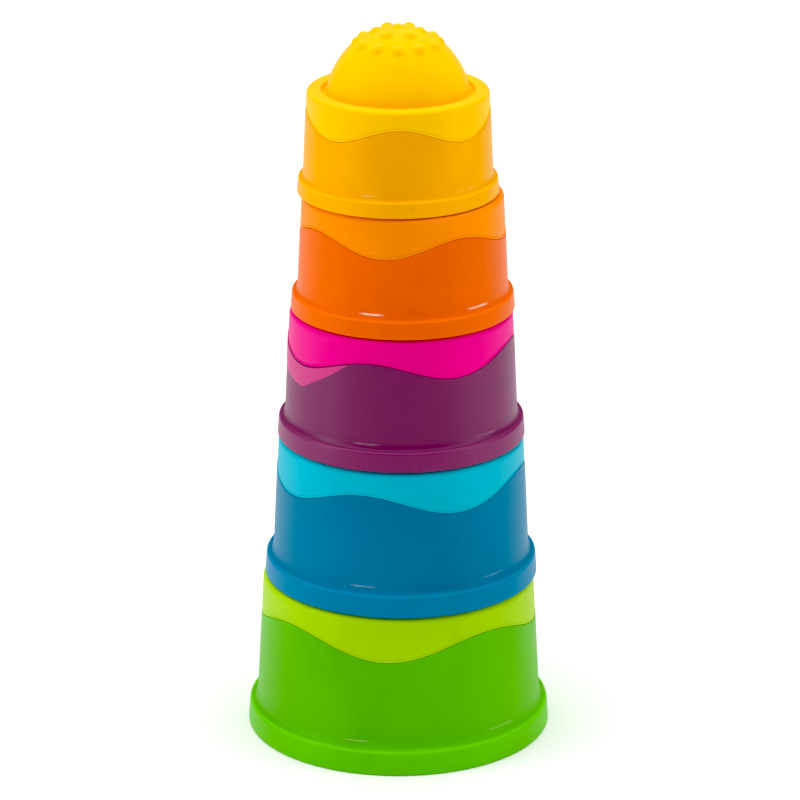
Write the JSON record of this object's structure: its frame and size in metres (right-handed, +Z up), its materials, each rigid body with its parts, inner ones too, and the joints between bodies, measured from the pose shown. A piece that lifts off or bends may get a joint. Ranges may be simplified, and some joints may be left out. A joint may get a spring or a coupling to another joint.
{
  "type": "stacking cup tower",
  "caption": "Tower of round toddler stacking cups, mouths down: hard shells with soft wavy-edged caps whose textured bubbles pop down under a finger.",
  "frame": {"origin": "centre of the bottom cup's mouth, on the surface that the tower stands on", "axes": "+Z up along the tower, -Y to the front, where the picture looks from, +X to that viewer's right"},
  "size_m": [0.1, 0.1, 0.2381],
  "materials": {
    "green_plastic": "satin moulded ABS, fine grain, light scuffs",
    "green_silicone": "soft matte silicone with a faint sheen",
    "teal_plastic": "satin moulded ABS, fine grain, light scuffs",
    "teal_silicone": "soft matte silicone with a faint sheen",
    "purple_plastic": "satin moulded ABS, fine grain, light scuffs",
    "purple_silicone": "soft matte silicone with a faint sheen",
    "orange_plastic": "satin moulded ABS, fine grain, light scuffs",
    "orange_silicone": "soft matte silicone with a faint sheen",
    "yellow_plastic": "satin moulded ABS, fine grain, light scuffs",
    "yellow_silicone": "soft matte silicone with a faint sheen"
  },
  "bodies": {
    "green_cup": {"green_shell": "green_plastic", "green_silicone_cap": "green_silicone", "green_bubble_wall": "green_silicone", "green_retaining_ring": "green_plastic"},
    "green_bubble": {"green_bubble_crown": "green_silicone"},
    "teal_cup": {"teal_shell": "teal_plastic", "teal_silicone_cap": "teal_silicone", "teal_bubble_wall": "teal_silicone", "teal_retaining_ring": "teal_plastic"},
    "teal_bubble": {"teal_bubble_crown": "teal_silicone"},
    "purple_cup": {"purple_shell": "purple_plastic", "purple_silicone_cap": "purple_silicone", "purple_bubble_wall": "purple_silicone", "purple_retaining_ring": "purple_plastic"},
    "purple_bubble": {"purple_bubble_crown": "purple_silicone"},
    "orange_cup": {"orange_shell": "orange_plastic", "orange_silicone_cap": "orange_silicone", "orange_bubble_wall": "orange_silicone", "orange_retaining_ring": "orange_plastic"},
    "orange_bubble": {"orange_bubble_crown": "orange_silicone"},
    "yellow_cup": {"yellow_shell": "yellow_plastic", "yellow_silicone_cap": "yellow_silicone", "yellow_bubble_wall": "yellow_silicone", "yellow_retaining_ring": "yellow_plastic"},
    "yellow_bubble": {"yellow_bubble_crown": "yellow_silicone"}
  },
  "joints": [
    {"name": "teal_lift", "type": "slide", "parent": "green_cup", "child": "teal_cup", "axis": [0, 0, 1], "range_m": [0, 0.04]},
    {"name": "purple_lift", "type": "slide", "parent": "teal_cup", "child": "purple_cup", "axis": [0, 0, 1], "range_m": [0, 0.036]},
    {"name": "orange_lift", "type": "slide", "parent": "purple_cup", "child": "orange_cup", "axis": [0, 0, 1], "range_m": [0, 0.033]},
    {"name": "yellow_lift", "type": "slide", "parent": "orange_cup", "child": "yellow_cup", "axis": [0, 0, 1], "range_m": [0, 0.03]},
    {"name": "green_pop", "type": "slide", "parent": "green_cup", "child": "green_bubble", "axis": [0, 0, 1], "range_m": [-0.06, 0], "deforming": ["green_bubble_wall"]},
    {"name": "teal_pop", "type": "slide", "parent": "teal_cup", "child": "teal_bubble", "axis": [0, 0, 1], "range_m": [-0.0382, 0], "deforming": ["teal_bubble_wall"]},
    {"name": "purple_pop", "type": "slide", "parent": "purple_cup", "child": "purple_bubble", "axis": [0, 0, 1], "range_m": [-0.0345, 0], "deforming": ["purple_bubble_wall"]},
    {"name": "orange_pop", "type": "slide", "parent": "orange_cup", "child": "orange_bubble", "axis": [0, 0, 1], "range_m": [-0.0302, 0], "deforming": ["orange_bubble_wall"]},
    {"name": "yellow_pop", "type": "slide", "parent": "yellow_cup", "child": "yellow_bubble", "axis": [0, 0, 1], "range_m": [-0.0254, 0], "deforming": ["yellow_bubble_wall"]}
  ]
}
